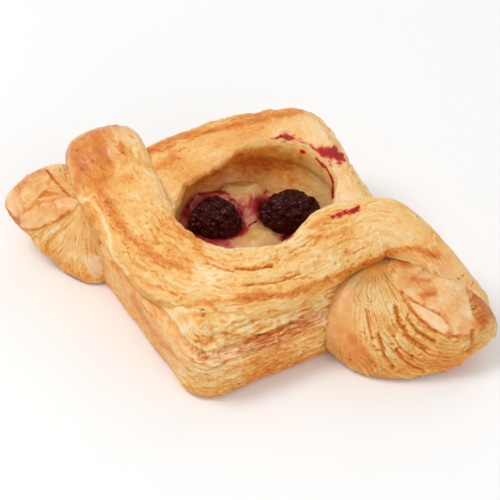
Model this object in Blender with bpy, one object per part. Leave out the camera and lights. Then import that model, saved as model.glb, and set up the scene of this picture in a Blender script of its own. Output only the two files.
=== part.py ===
"""A danish pastry twist: a square of puff pastry with two crossed border strips round custard and two brambles.

The square stands on its corner, so that it is a diamond in plan. X runs from the left knot to the right knot,
Y from the front corner to the back corner, +Z is up, and the pastry rests on z = 0. The dimensions are in
millimetres, and a mesh is made in metres.
"""

import math

import bmesh
import bpy
import numpy as np
from mathutils import Vector

MM = 0.001

# How far the finished part is moved, so that its box stands centred on the origin
SHIFT = np.array([-0.19, -0.9, 0.0])

# The gap that two touching pieces keep
CLEARANCE = 0.3

# The diamond base: half its diagonal, the radius of its corners, how far it is turned, and its middle
BASE_REACH = 43.7
BASE_CORNER = 9.0
BASE_TURN = math.radians(3)
BASE_CENTRE = np.array([-0.2, 0.5, 0.0])
# Its side from the foot up, as height and inset: puffed layers, the border, then the tier under the strips
BASE_SIDE = (
    (0.0, 2.2), (0.8, 0.9), (2.4, 0.2), (3.2, 1.0), (4.8, 0.2), (5.6, 1.0), (7.2, 0.0), (8.0, 1.0),
    (9.8, 0.1), (10.6, 0.8), (12.4, 0.0), (13.6, 0.5), (14.6, 1.6), (15.2, 3.2), (16.6, 3.0), (18.4, 4.2),
    (20.2, 6.0), (21.2, 8.6),
)
# Its sides are uneven: how far they waver, and how often round the base
BASE_WAVER = 0.3
BASE_WAVES = 9

# Border strips, station by station: centre x, y, z, half width, crown above the centre, depth below it, and
# roll in degrees. The front strip climbs over the left knot, sags along the front and climbs to the right tip.
FRONT_STRIP = (
    (-51, 21.5, 8, 8, 4, 6, 0),
    (-47, 15.5, 24.5, 10.6, 7, 9, 6),
    (-39, 4.5, 25, 11.5, 5, 10, 8),
    (-28, -8, 23, 10.5, 5, 10, 14),
    (-17, -17, 21.5, 10.5, 5, 9, 20),
    (-4, -21.5, 21, 10.5, 6, 8, 24),
    (8, -19, 21.5, 10.5, 6, 8, 24),
    (17, -10, 23, 10, 6, 8, 24),
    (26, 1.8, 25, 10, 6, 8, 26),
    (36, 9, 25.5, 8.3, 6, 8, 24),
    (47, 8, 21.6, 6, 5, 8, 18),
    (57, 4.5, 16.5, 4.5, 4, 7, 10),
    (66, 1, 11, 4, 3, 6, 0),
)
# The back strip runs from under the left knot round the back corner to under the right knot
BACK_STRIP = (
    (-38, 2, 13, 9, 5, 8, 0),
    (-29.5, 7, 18.5, 13, 7, 9, 8),
    (-23.5, 16, 21.2, 12.8, 7.5, 9, 14),
    (-16, 25, 23, 11, 7.5, 9, 14),
    (-7.5, 31.5, 24.3, 9.8, 8, 9, 8),
    (1.6, 35.7, 25.4, 9.2, 8.2, 9, 0),
    (8.4, 31.4, 24.8, 8.2, 8, 9, 6),
    (14.4, 26.6, 23.3, 7.4, 8, 9, 14),
    (21.4, 20, 22, 6.8, 7, 9, 14),
    (29, 11, 20, 7, 6, 9, 8),
    (33, 2, 15, 6, 5, 8, 0),
)
STRIP_SQUARENESS = 2.5
# A strip narrows to this share over this length at either end
STRIP_END = 5.0
STRIP_END_SHARE = 0.25
# Layers that show along the sides of a strip: how deep they are cut, and how often that varies along it
LAYER_DEPTH = 0.45
LAYER_WAVER = 0.37

# Knots: the point where the dough is pinched, then reach from it and height of the rim, every 30 degrees
# anticlockwise from +X
LEFT_PINCH = (-46, -4, 22)
LEFT_REACH = (13, 16, 19, 22, 24.5, 24, 23.2, 10.8, 7.2, 7.2, 8.7, 10.5)
LEFT_LIFT = (3, 3, 3, 6, 14, 16, 13.5, 7, 3, 2.5, 2.5, 3)
RIGHT_PINCH = (36, -3, 22)
RIGHT_REACH = (34.4, 25, 17, 15, 13, 12, 12, 13, 16.6, 18, 20.5, 25.2)
RIGHT_LIFT = (8, 9, 5, 3, 3, 3, 3, 8, 6, 3, 2.5, 2.5)
KNOT_FULLNESS = 2.3
# How deep the folds of the fan are, and the knot's underside as share of the reach and drop below the rim
FAN_DEPTH = 0.7
KNOT_UNDERSIDE = ((1.0, 0.0), (0.97, 1.5), (0.86, 4.0), (0.5, 9.0))
KNOT_FOOT = 0.5

# The well: its centre in plan, how far it goes under the strips and how wide it is open, every 30 degrees
# anticlockwise from +X, and its wall from the floor up, as height and share of the reach
WELL_CENTRE = np.array([1.0, 8.0])
WELL_REACH = (21, 22.5, 22, 22, 23, 26, 28, 26, 21.5, 20, 19.5, 18.5)
OPENING_REACH = (18.8, 20.4, 20.2, 19.8, 18.4, 17.3, 21, 23.5, 22.2, 20.5, 21, 17.5)
WELL_WALL = ((6.8, 0.3), (7.6, 0.55), (10, 0.68), (13, 0.78), (17, 0.9), (20.5, 0.98), (23, 1.0), (25.5, 0.95))
WELL_OPEN_ABOVE = 18.0
WELL_ROOF = 28.0
WELL_TOP = 45.0
WELL_SIDES = 36

# The custard: how high it stands at the wall, and its lumps as x, y, height and width
CUSTARD_LEVEL = 14.6
CUSTARD_LUMPS = (
    (-9, 24, 2.4, 4.5),
    (-3, 17.5, 1.8, 3.5),
    (2, 4, 2.6, 4.5),
    (-20, 13, 1.4, 4.0),
    (16, 12, 1.2, 4.0),
)
CUSTARD_RINGS = 7

# Brambles: centre, half sizes, and turn about Z; each is covered with rows of drupelets
BRAMBLES = {
    "bramble_left": ((-11.5, 7.2, 16.9), (7.4, 6.8, 6.4), 0.5),
    "bramble_right": ((7.7, 15.6, 17.6), (9.1, 7.2, 6.5), 0.25),
}
DRUPELETS = 34
DRUPELET_SIZE = 0.34
DRUPELET_HEIGHT = 0.13
GOLDEN_ANGLE = math.pi * (3 - math.sqrt(5))


def spline(rows, count, closed=False):
    """A Catmull-Rom curve through the rows, read at evenly spaced parameters."""
    rows = np.array(rows, float)
    total = len(rows)
    spans = total if closed else total - 1
    place = np.linspace(0, spans, count, endpoint=not closed)
    first = np.minimum(place.astype(int), spans - 1)
    f = (place - first)[:, None]
    if closed:
        a, b, c, d = (rows[(first + k) % total] for k in (-1, 0, 1, 2))
    else:
        a, b, c, d = (rows[np.clip(first + k, 0, total - 1)] for k in (-1, 0, 1, 2))
        a = np.where((first == 0)[:, None], 2 * b - c, a)
        d = np.where((first == spans - 1)[:, None], 2 * c - b, d)
    return 0.5 * (2 * b + (c - a) * f + (2 * a - 5 * b + 4 * c - d) * f**2 + (3 * b - a - 3 * c + d) * f**3)


def unit(vectors):
    return vectors / np.linalg.norm(vectors, axis=-1, keepdims=True)


def turn(count):
    """Angles all the way round."""
    return np.arange(count) / count * 2 * math.pi


def plan_directions(angles):
    return np.stack([np.cos(angles), np.sin(angles), 0 * angles], 1)


def at_height(points, height):
    """The points moved to a height, which is one number or one for each point."""
    points = points.copy()
    points[:, 2] = height
    return points


def loft(name, rings, colour_material):
    """A closed solid through rings of as many points each, with a flat face at either end."""
    bm = bmesh.new()
    loops = [[bm.verts.new(Vector(point) * MM) for point in ring + SHIFT] for ring in rings]
    sides = len(loops[0])
    for near, far in zip(loops, loops[1:]):
        for k in range(sides):
            after = (k + 1) % sides
            bm.faces.new((near[k], near[after], far[after], far[k]))
    bm.faces.new(loops[0][::-1])
    bm.faces.new(loops[-1])
    bmesh.ops.recalc_face_normals(bm, faces=bm.faces)
    return finish_mesh(name, bm, colour_material)


def finish_mesh(name, bm, colour_material):
    bmesh.ops.triangulate(bm, faces=bm.faces)
    mesh = bpy.data.meshes.new(name)
    bm.to_mesh(mesh)
    bm.free()
    mesh.materials.append(colour_material)
    mesh.shade_smooth()
    return bpy.data.objects.new(name, mesh)


def strip_rings(stations, count, sides):
    """Rings across a border strip, with the edges of its layers along the side away from the well."""
    rows = spline(stations, count)
    centre, half_width, crown, depth = rows[:, :3], rows[:, 3], rows[:, 4], rows[:, 5]
    roll = np.radians(rows[:, 6])[:, None]
    along = unit(np.gradient(centre, axis=0))
    across = unit(np.cross(along, (0, 0, 1)))
    up = np.cross(across, along)
    tilted_across = across * np.cos(roll) - up * np.sin(roll)
    tilted_up = up * np.cos(roll) + across * np.sin(roll)
    angle = turn(sides)
    round_x = np.sign(np.cos(angle)) * np.abs(np.cos(angle)) ** (2 / STRIP_SQUARENESS)
    round_y = np.sign(np.sin(angle)) * np.abs(np.sin(angle)) ** (2 / STRIP_SQUARENESS)
    travelled = np.concatenate([[0], np.cumsum(np.linalg.norm(np.diff(centre, axis=0), axis=1))])
    layers = LAYER_DEPTH * np.where(np.arange(sides) % 2, -1, 1) * np.abs(round_x) ** 3
    rings = []
    for k in range(count):
        to_end = min(travelled[k], travelled[-1] - travelled[k], STRIP_END)
        swell = STRIP_END_SHARE + (1 - STRIP_END_SHARE) * math.sqrt(1 - (1 - to_end / STRIP_END) ** 2)
        tall = np.where(round_y > 0, crown[k], depth[k])
        layered = layers * (1 + 0.4 * math.sin(travelled[k] * LAYER_WAVER))
        x = (half_width[k] + layered) * round_x * swell
        y = tall * round_y * swell
        rings.append(centre[k] + np.outer(x, tilted_across[k]) + np.outer(y, tilted_up[k]))
    return rings


def knot_rings(pinch, reach, lift, sides, levels):
    """Rings down a knot: a mound fanned out from the pinch, with its rim lifted off the tray."""
    outline = spline(np.stack([reach, lift], 1), sides, closed=True)
    radius, rim = outline[:, :1], outline[:, 1]
    outward = plan_directions(turn(sides)) * radius
    folds = FAN_DEPTH * np.where(np.arange(sides) % 3, 0.5, -1)
    pinch = np.array(pinch, float)
    rings = []
    for k in range(levels):
        share = math.sin((k + 0.6) / levels * math.pi / 2)
        fall = (1 - share**KNOT_FULLNESS) ** (1 / KNOT_FULLNESS)
        rings.append(at_height(pinch + outward * share, rim + (pinch[2] - rim) * fall + folds * share))
    for share, drop in KNOT_UNDERSIDE:
        rings.append(at_height(pinch + outward * share, np.maximum(rim - drop, KNOT_FOOT + 1 - share)))
    return rings


def base_rings(corner_steps, side_steps):
    """Rings up the diamond base; its outline is a smaller diamond grown by the corner radius."""
    anchors, normals = [], []
    for quarter in range(4):
        middle = quarter * math.pi / 2 + BASE_TURN
        corner = np.array([math.cos(middle), math.sin(middle), 0]) * (BASE_REACH - BASE_CORNER)
        following = np.array([-math.sin(middle), math.cos(middle), 0]) * (BASE_REACH - BASE_CORNER)
        for step in range(corner_steps):
            angle = middle + (step / (corner_steps - 1) - 0.5) * math.pi / 2
            anchors.append(BASE_CENTRE + corner)
            normals.append((math.cos(angle), math.sin(angle), 0))
        for step in range(1, side_steps):
            anchors.append(BASE_CENTRE + corner + (following - corner) * step / side_steps)
            normals.append(normals[-1])
    anchors, normals = np.array(anchors), np.array(normals)
    around = turn(len(anchors))
    rings = []
    for k, (height, inset) in enumerate(BASE_SIDE):
        waver = BASE_WAVER * np.sin(around * BASE_WAVES + k * GOLDEN_ANGLE) * min(k, 1)
        rings.append(at_height(anchors + normals * (BASE_CORNER - inset + waver)[:, None], height))
    return rings


def well_reach(angles, share, opened):
    """How far the well goes from its centre: a share of its reach, or the opening where that is wider."""
    steps = np.linspace(0, 2 * math.pi, WELL_SIDES, endpoint=False)
    hidden = np.interp(angles, steps, spline(np.array(WELL_REACH)[:, None], WELL_SIDES, closed=True)[:, 0])
    shown = np.interp(angles, steps, spline(np.array(OPENING_REACH)[:, None], WELL_SIDES, closed=True)[:, 0])
    return np.maximum(hidden * share, shown) if opened else hidden * share


def well_ring(height, share, opened=False, gap=0.0):
    angles = turn(WELL_SIDES)
    reach = well_reach(angles, share, opened) - gap
    ring = plan_directions(angles) * reach[:, None]
    return at_height(ring + np.append(WELL_CENTRE, 0), height)


def well_rings():
    rings = [well_ring(height, share, height > WELL_OPEN_ABOVE) for height, share in WELL_WALL]
    rings.append(well_ring(WELL_ROOF, 0, True))
    rings.append(well_ring(WELL_TOP, 0, True))
    return rings


def custard_height(points):
    height = np.full(len(points), CUSTARD_LEVEL)
    for x, y, lump, width in CUSTARD_LUMPS:
        away = (points[:, 0] - x) ** 2 + (points[:, 1] - y) ** 2
        height += lump * np.exp(-away / width**2)
    return height


def custard_rings():
    """Rings up the well's wall to the custard's level, then inwards over its lumpy top."""
    heights, shares = zip(*WELL_WALL)
    rings = [
        well_ring(height + CLEARANCE, share, gap=CLEARANCE)
        for height, share in WELL_WALL
        if height < CUSTARD_LEVEL - 1
    ]
    edge = well_ring(CUSTARD_LEVEL, float(np.interp(CUSTARD_LEVEL, heights, shares)), gap=CLEARANCE)
    middle = np.append(WELL_CENTRE, 0)
    rings.append(edge)
    for k in range(1, CUSTARD_RINGS):
        ring = middle + (edge - middle) * (1 - k / CUSTARD_RINGS)
        rings.append(at_height(ring, custard_height(ring)))
    return rings


def ball(name, centre, half_sizes, detail, colour_material, drupelets=0, turned=0.0):
    """An ellipsoid, which drupelets set in a spiral can cover."""
    bm = bmesh.new()
    bmesh.ops.create_icosphere(bm, subdivisions=detail, radius=1.0)
    k = np.arange(drupelets)
    level = 1 - (2 * k + 1) / max(drupelets, 1)
    angle = k * GOLDEN_ANGLE + turned
    ring = np.sqrt(1 - level**2)
    tops = np.stack([ring * np.cos(angle), ring * np.sin(angle), level], 1)
    turned_x = np.array([math.cos(turned), math.sin(turned), 0])
    turned_y = np.array([-math.sin(turned), math.cos(turned), 0])
    for vert in bm.verts:
        direction = np.array(vert.co)
        swell = 1.0
        if drupelets:
            nearest = min(np.linalg.norm(tops - direction, axis=1)) / DRUPELET_SIZE
            swell -= DRUPELET_HEIGHT * min(nearest, 1) ** 2
        x, y, z = direction * np.array(half_sizes) * swell
        vert.co = Vector((np.array(centre) + turned_x * x + turned_y * y + np.array([0, 0, z]) + SHIFT) * MM)
    return finish_mesh(name, bm, colour_material)


def material(name, colour, roughness):
    made = bpy.data.materials.new(name)
    made.use_nodes = True
    shader = made.node_tree.nodes["Principled BSDF"]
    shader.inputs["Base Color"].default_value = (*colour, 1)
    shader.inputs["Roughness"].default_value = roughness
    shader.inputs["Metallic"].default_value = 0.0
    return made


def collection(name):
    made = bpy.data.collections.new(name)
    bpy.context.scene.collection.children.link(made)
    return made


def keep_largest_shell(mesh):
    """Drops loose scraps and fills sealed hollows: all shells go but the one with most vertices."""
    bm = bmesh.new()
    bm.from_mesh(mesh)
    unseen = set(bm.verts)
    shells = []
    while unseen:
        shell, front = set(), [unseen.pop()]
        while front:
            vert = front.pop()
            shell.add(vert)
            near = {edge.other_vert(vert) for edge in vert.link_edges} & unseen
            unseen -= near
            front.extend(near)
        shells.append(shell)
    shells.sort(key=len)
    for shell in shells[:-1]:
        bmesh.ops.delete(bm, geom=list(shell), context="VERTS")
    bm.to_mesh(mesh)
    bm.free()


def combine(target, others, operation):
    """Joins other objects to the target, or cuts them out of it, and removes them."""
    helpers = collection("helpers")
    for other in others:
        helpers.objects.link(other)
    modifier = target.modifiers.new(operation.lower(), "BOOLEAN")
    modifier.operation = operation
    modifier.operand_type = "COLLECTION"
    modifier.collection = helpers
    modifier.solver = "EXACT"
    modifier.use_self = True
    evaluated = target.evaluated_get(bpy.context.evaluated_depsgraph_get())
    made = bpy.data.meshes.new_from_object(evaluated)
    target.modifiers.clear()
    keep_largest_shell(made)
    target.data = made
    for other in others:
        bpy.data.objects.remove(other, do_unlink=True)
    bpy.data.collections.remove(helpers)


def clear_scene():
    for item in list(bpy.data.objects):
        bpy.data.objects.remove(item, do_unlink=True)


def main():
    clear_scene()
    part = collection("danish_pastry")
    dough = material("baked_dough", (0.72, 0.42, 0.13), 0.45)
    custard_yellow = material("vanilla_custard", (0.70, 0.47, 0.16), 0.35)
    berry_purple = material("dark_berry", (0.022, 0.004, 0.012), 0.25)

    pastry = loft("pastry", base_rings(5, 7), dough)
    part.objects.link(pastry)
    strips = [
        loft("front_strip", strip_rings(FRONT_STRIP, 52, 26), dough),
        loft("back_strip", strip_rings(BACK_STRIP, 40, 26), dough),
        loft("left_knot", knot_rings(LEFT_PINCH, LEFT_REACH, LEFT_LIFT, 48, 9), dough),
        loft("right_knot", knot_rings(RIGHT_PINCH, RIGHT_REACH, RIGHT_LIFT, 48, 9), dough),
    ]
    combine(pastry, strips, "UNION")
    combine(pastry, [loft("well", well_rings(), dough)], "DIFFERENCE")

    custard = loft("custard", custard_rings(), custard_yellow)
    part.objects.link(custard)
    beds = []
    for name, (centre, half_sizes, turned) in BRAMBLES.items():
        berry = ball(name, centre, half_sizes, 4, berry_purple, DRUPELETS, turned)
        part.objects.link(berry)
        bed_sizes = [size + CLEARANCE for size in half_sizes]
        beds.append(ball(name + "_bed", centre, bed_sizes, 3, custard_yellow, turned=turned))
    combine(custard, beds, "DIFFERENCE")


main()
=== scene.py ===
"""Looks of the danish pastry twist: its flaky dough, custard and brambles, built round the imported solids.

Places and sizes are in millimetres in the solids' own layout, before their box is centred, and a mesh is
made in metres. X runs from the left knot to the right knot, Y from the front corner to the back corner, and
+Z is up.
"""

import math

import bmesh
import bpy
import numpy as np
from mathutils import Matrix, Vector

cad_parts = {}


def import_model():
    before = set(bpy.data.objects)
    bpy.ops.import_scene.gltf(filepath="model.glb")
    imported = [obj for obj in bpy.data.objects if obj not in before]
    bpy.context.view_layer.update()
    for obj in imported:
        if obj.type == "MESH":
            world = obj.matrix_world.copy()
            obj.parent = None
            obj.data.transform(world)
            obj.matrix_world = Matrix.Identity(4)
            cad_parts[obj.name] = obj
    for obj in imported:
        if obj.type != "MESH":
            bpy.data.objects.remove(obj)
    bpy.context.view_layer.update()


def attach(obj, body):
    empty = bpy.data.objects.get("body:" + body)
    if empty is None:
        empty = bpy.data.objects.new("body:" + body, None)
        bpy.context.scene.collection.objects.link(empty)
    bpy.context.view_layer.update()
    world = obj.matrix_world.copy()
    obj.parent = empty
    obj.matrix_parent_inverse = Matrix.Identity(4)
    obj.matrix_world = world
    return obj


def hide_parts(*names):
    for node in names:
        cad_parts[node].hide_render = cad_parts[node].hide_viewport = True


MM = 0.001
SHIFT = np.array([-0.19, -0.9, 0.0])

# The photograph's camera: turn round +Z from the front, height above level, distance and target, then the
# middle of its picture in pixels and the length of a pixel at the target
VIEW_TURN = math.radians(19)
VIEW_HEIGHT = math.radians(42)
VIEW_DISTANCE = 650.0
VIEW_TARGET = np.array([0.7, 2.8, 15.0])
VIEW_MIDDLE = np.array([252.0, 245.0])
VIEW_PIXEL = 0.27
VIEW_WIDTH = 500

# The diamond base: half its diagonal, the radius of its corners, how far it is turned, and its middle
BASE_REACH = 43.7
BASE_CORNER = 9.0
BASE_TURN = math.radians(3)
BASE_CENTRE = np.array([-0.2, 0.5, 0.0])
# Its side from the foot up, as height and inset
BASE_SIDE = (
    (0.0, 2.4), (0.8, 1.1), (2.4, 0.5), (5.0, 0.5), (8.0, 0.5), (11.0, 0.2), (13.0, 0.2), (14.0, 0.9),
    (14.6, 1.8), (15.2, 3.0), (16.6, 3.0), (18.4, 4.2), (20.2, 6.0), (21.0, 8.6),
)

# Border strips, station by station: centre x, y, z, half width, crown above the centre, depth below it, and
# roll in degrees
FRONT_STRIP = (
    (-51, 21.5, 8, 8, 4, 6, 0),
    (-47, 15.5, 24.5, 10.6, 7, 9, 6),
    (-39, 4.5, 25, 11.5, 5, 10, 8),
    (-28, -8, 23, 10.5, 5, 10, 14),
    (-17, -17, 21.5, 10.5, 5, 9, 20),
    (-4, -21.5, 21, 10.5, 6, 8, 24),
    (8, -19, 21.5, 10.5, 6, 8, 24),
    (17, -10, 23, 10, 6, 8, 24),
    (26, 1.8, 25, 10, 6, 8, 26),
    (36, 9, 25.5, 8.3, 6, 8, 24),
    (47, 8, 21.6, 6, 5, 8, 18),
    (57, 4.5, 16.5, 4.5, 4, 7, 10),
    (66, 1, 11, 4, 3, 6, 0),
)
BACK_STRIP = (
    (-38, 2, 13, 9, 5, 8, 0),
    (-29.5, 7, 18.5, 13, 7, 9, 8),
    (-23.5, 16, 21.2, 12.8, 7.5, 9, 14),
    (-16, 25, 23, 11, 7.5, 9, 14),
    (-7.5, 31.5, 24.3, 9.8, 8, 9, 8),
    (1.6, 35.7, 25.4, 9.2, 8.2, 9, 0),
    (8.4, 31.4, 24.8, 8.2, 8, 9, 6),
    (14.4, 26.6, 23.3, 7.4, 8, 9, 14),
    (21.4, 20, 22, 6.8, 7, 9, 14),
    (29, 11, 20, 7, 6, 9, 8),
    (33, 2, 15, 6, 5, 8, 0),
)
STRIP_SQUARENESS = 2.5
STRIP_END = 5.0
STRIP_END_SHARE = 0.25
# How much closer a strip's columns are on its top than underneath
TOP_CLOSENESS = 0.42

# Knots: the point where the dough is pinched, then reach from it and height of the rim, every 30 degrees
LEFT_PINCH = np.array([-46.0, -4.0, 22.0])
LEFT_REACH = (13, 16, 19, 22, 24.5, 24, 23.2, 10.8, 7.2, 7.2, 8.7, 10.5)
LEFT_LIFT = (3, 3, 3, 6, 14, 16, 13.5, 7, 3, 2.5, 2.5, 3)
RIGHT_PINCH = np.array([36.0, -3.0, 22.0])
RIGHT_REACH = (34.4, 25, 17, 15, 13, 12, 12, 13, 16.6, 18, 20.5, 25.2)
RIGHT_LIFT = (8, 9, 5, 3, 3, 3, 3, 8, 6, 3, 2.5, 2.5)
# Where a knot's rim draws in: direction in degrees, half width in degrees and share of the reach
LEFT_NOTCHES = ((192, 9, 0.13), (165, 10, 0.03))
RIGHT_NOTCHES = ((351, 8, 0.05),)
KNOT_FULLNESS = 2.3
KNOT_UNDERSIDE = ((1.0, 0.0), (0.97, 1.5), (0.86, 4.0), (0.5, 9.0))
KNOT_FOOT = 0.5

# The well: its centre in plan, its reach under the strips and its opening, every 30 degrees, and its wall
# from the floor up, as height and share of the reach
WELL_CENTRE = np.array([1.0, 8.0])
WELL_REACH = (21, 22.5, 22, 22, 23, 26, 28, 26, 21.5, 20, 19.5, 18.5)
OPENING_REACH = (18.8, 20.4, 20.2, 19.8, 18.4, 17.3, 21, 23.5, 22.2, 20.5, 21, 17.5)
WELL_WALL = (
    (6.8, 0.3), (7.6, 0.55), (10, 0.68), (13, 0.78), (17, 0.9), (20.5, 0.98), (23, 1.0), (25.5, 0.95),
)
# The strips' lip over the well: how far it goes down, and the least height of its edge
LIP_DEPTH = 11.0
LIP_LOWEST = 18.0

CUSTARD_LEVEL = 14.6
CUSTARD_LUMPS = (
    (-9, 24, 2.4, 4.5),
    (-3, 17.5, 1.8, 3.5),
    (2, 4, 2.6, 4.5),
    (-20, 13, 1.4, 4.0),
    (16, 12, 1.2, 4.0),
)
BRAMBLES = {
    "bramble_left": ((-11.5, 7.2, 16.9), (7.4, 6.8, 6.4), 0.5),
    "bramble_right": ((7.7, 15.6, 17.6), (9.1, 7.2, 6.5), 0.25),
}
GOLDEN_ANGLE = math.pi * (3 - math.sqrt(5))
# Where a berry's three blunt corners start
BERRY_CORNER = math.radians(109)


# Curves and noise

def spline(rows, count, closed=False):
    """A Catmull-Rom curve through the rows, read at evenly spaced parameters."""
    rows = np.array(rows, float)
    total = len(rows)
    spans = total if closed else total - 1
    place = np.linspace(0, spans, count, endpoint=not closed)
    first = np.minimum(place.astype(int), spans - 1)
    f = (place - first)[:, None]
    if closed:
        a, b, c, d = (rows[(first + k) % total] for k in (-1, 0, 1, 2))
    else:
        a, b, c, d = (rows[np.clip(first + k, 0, total - 1)] for k in (-1, 0, 1, 2))
        a = np.where((first == 0)[:, None], 2 * b - c, a)
        d = np.where((first == spans - 1)[:, None], 2 * c - b, d)
    return 0.5 * (2 * b + (c - a) * f + (2 * a - 5 * b + 4 * c - d) * f**2 + (3 * b - a - 3 * c + d) * f**3)


def length(vectors):
    return np.linalg.norm(vectors, axis=-1)


def unit(vectors):
    return vectors / np.maximum(length(vectors)[..., None], 1e-9)


def travelled(path):
    """How far along a path each of its points lies."""
    return np.concatenate([[0], np.cumsum(length(np.diff(path, axis=0)))])


def turn(count):
    return np.arange(count) / count * 2 * math.pi


def rise(value, low, high):
    """0 below low, 1 above high, smooth between; falls instead where low is the greater."""
    share = np.clip((value - low) / (high - low), 0, 1)
    return share * share * (3 - 2 * share)


def lattice(ix, iy, iz, seed):
    """A random number from 0 to 1 for each whole-numbered place."""
    mixed = ix * 374761393 + iy * 668265263 + iz * 2147483647 + seed * 974634777
    mixed = (mixed ^ (mixed >> 13)) & 0xFFFFFFFF
    mixed = (mixed * 1274126177) & 0xFFFFFFFF
    return ((mixed ^ (mixed >> 16)) & 0xFFFFFF) / 0xFFFFFF


def noise(x, y, seed, z=0.0):
    """Smooth value noise from 0 to 1, with one feature for each unit of length."""
    x, y, z = np.broadcast_arrays(x, y, z)
    ix, iy, iz = (np.floor(v).astype(np.int64) for v in (x, y, z))
    fx, fy, fz = (v - i for v, i in ((x, ix), (y, iy), (z, iz)))
    fx, fy, fz = (f * f * f * (f * (f * 6 - 15) + 10) for f in (fx, fy, fz))
    total = 0.0
    for dx in (0, 1):
        for dy in (0, 1):
            for dz in (0, 1):
                weight = (fx if dx else 1 - fx) * (fy if dy else 1 - fy) * (fz if dz else 1 - fz)
                total = total + weight * lattice(ix + dx, iy + dy, iz + dz, seed)
    return total


def cloud(points, size, octaves, seed):
    """Layered noise over points in space, around 0.5, whose largest features have that size."""
    total, weight = 0.0, 0.0
    for k in range(octaves):
        scaled = points / size * 2**k
        total = total + noise(scaled[..., 0], scaled[..., 1], seed + k, scaled[..., 2]) / 2**k
        weight += 1 / 2**k
    return total / weight


def uneven(points, size, octaves, seed):
    """Layered noise around 0."""
    return cloud(points, size, octaves, seed) - 0.5


def ridge(value, width):
    """1 along the threads where noise crosses its middle, falling to 0 at that distance from it."""
    return np.clip(1 - np.abs(2 * value - 1) / width, 0, 1)


def layers(s, t, seed, size=3.0, wander=1.0):
    """Puffed layers that run along s: their height, and where they have parted or burst into pits."""
    s = s + 2.4 * (noise(s / 4, t / 3, seed + 20) - 0.5)
    bent = 3.0 * (noise(s / 24, t / 11, seed) - 0.5) + 1.7 * (noise(s / 6, t / 5, seed + 1) - 0.5)
    t = t + wander * (bent + 0.9 * (noise(s / 2, t / 2, seed + 21) - 0.5))
    thick = np.abs(2 * noise(s / 13, t / size, seed + 2) - 1)
    thin = ridge(noise(s / 6, t / (size * 0.36), seed + 3), 0.4)
    crinkle = ridge(noise(s / 2.2, t / (size * 0.22), seed + 4), 0.4)
    height = 0.4 * np.sqrt(thick) + 0.35 * thin**1.5 + 0.25 * crinkle - 0.42
    parted = 0.8 * rise(thick, 0.14, 0.02) * rise(noise(s / 9, t / 4, seed + 5), 0.4, 0.6)
    pits = rise(noise(s / 1.8, t / (size * 0.22), seed + 6), 0.25, 0.12)
    return height, np.maximum(parted, 0.8 * pits)


def pores(points, size, seed, amount=0.5):
    """Round pinholes left by bubbles: 1 in a hole."""
    hole = rise(cloud(points, size, 1, seed), 0.22, 0.1)
    return hole * rise(cloud(points, size * 9, 2, seed + 9), 0.62 - 0.3 * amount, 0.75 - 0.3 * amount)


# Places in the photograph

VIEW_BACK = np.array([
    math.sin(VIEW_TURN) * math.cos(VIEW_HEIGHT),
    -math.cos(VIEW_TURN) * math.cos(VIEW_HEIGHT),
    math.sin(VIEW_HEIGHT),
])
VIEW_RIGHT = np.array([math.cos(VIEW_TURN), math.sin(VIEW_TURN), 0])
VIEW_UP = np.cross(VIEW_BACK, VIEW_RIGHT)


def on_photo(points):
    """The pixel at which the photograph shows each point."""
    away = points - VIEW_TARGET
    scale = VIEW_DISTANCE / (VIEW_DISTANCE - away @ VIEW_BACK) / VIEW_PIXEL
    x, y = VIEW_MIDDLE[0] + away @ VIEW_RIGHT * scale, VIEW_MIDDLE[1] - away @ VIEW_UP * scale
    return np.stack([x, y], -1)


def in_view(points):
    """The normals of a grid, the pixel of each point, and 1 where it faces the camera, else 0."""
    normals = grid_normals(points)
    return normals, on_photo(points), rise(normals @ VIEW_BACK, -0.05, 0.25)


def to_path(seen, path):
    """Distance from each place to a path, and how far along it the nearest point is, from 0 to 1."""
    path = np.array(path, float)
    best = np.full(seen.shape[:-1], 1e9)
    along = np.zeros(seen.shape[:-1])
    for k in range(len(path) - 1):
        a, b = path[k], path[k + 1]
        share = np.clip(((seen - a) @ (b - a)) / max((b - a) @ (b - a), 1e-9), 0, 1)
        distance = length(seen - a - share[..., None] * (b - a))
        along = np.where(distance < best, (k + share) / (len(path) - 1), along)
        best = np.minimum(best, distance)
    return best, along


def inside(seen, outline):
    """Signed distance in pixels to an outline, positive inside it."""
    outline = np.array(outline, float)
    x, y = seen[..., 0], seen[..., 1]
    crossed = np.zeros(x.shape, bool)
    for a, b in zip(outline, np.roll(outline, -1, 0)):
        spans = (a[1] > y) != (b[1] > y)
        slope = (b[0] - a[0]) / np.where(b[1] == a[1], 1e-9, b[1] - a[1])
        crossed ^= spans & (x < a[0] + (y - a[1]) * slope)
    distance = to_path(seen, np.vstack([outline, outline[:1]]))[0]
    return np.where(crossed, distance, -distance)


def strokes(seen, rows, rough=1.0):
    """Soft marks, each row a half width in pixels, a strength and the pixels of its path."""
    total = np.zeros(seen.shape[:-1])
    for width, strength, *path in rows:
        ragged = width * (1 + rough * (0.8 * noise(seen[..., 0] / 5, seen[..., 1] / 5, 71) - 0.4))
        mark = strength * np.exp(-((to_path(seen, path)[0] / ragged) ** 2))
        patchy = 0.8 * min(1, 4 / width) * (noise(seen[..., 0] / 2.3, seen[..., 1] / 1.9, 72) - 0.5)
        mark = mark * (1 + rough * patchy)
        total = np.where(np.abs(mark) > np.abs(total), mark, total)
    return total


def blots(points, rows):
    """Marks with ragged edges, as spilt juice leaves."""
    ragged = 0.6 + 0.8 * cloud(points, 2.2, 3, 75)
    return rise(strokes(on_photo(points), rows) * ragged, 0.08, 1.1)


# The well

def ring(centre, angle, reach, height):
    """Points round a centre in plan, at that reach and height."""
    x, y = centre[0] + np.cos(angle) * reach, centre[1] + np.sin(angle) * reach
    return np.stack([x, y, height + 0 * angle], 1)


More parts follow.
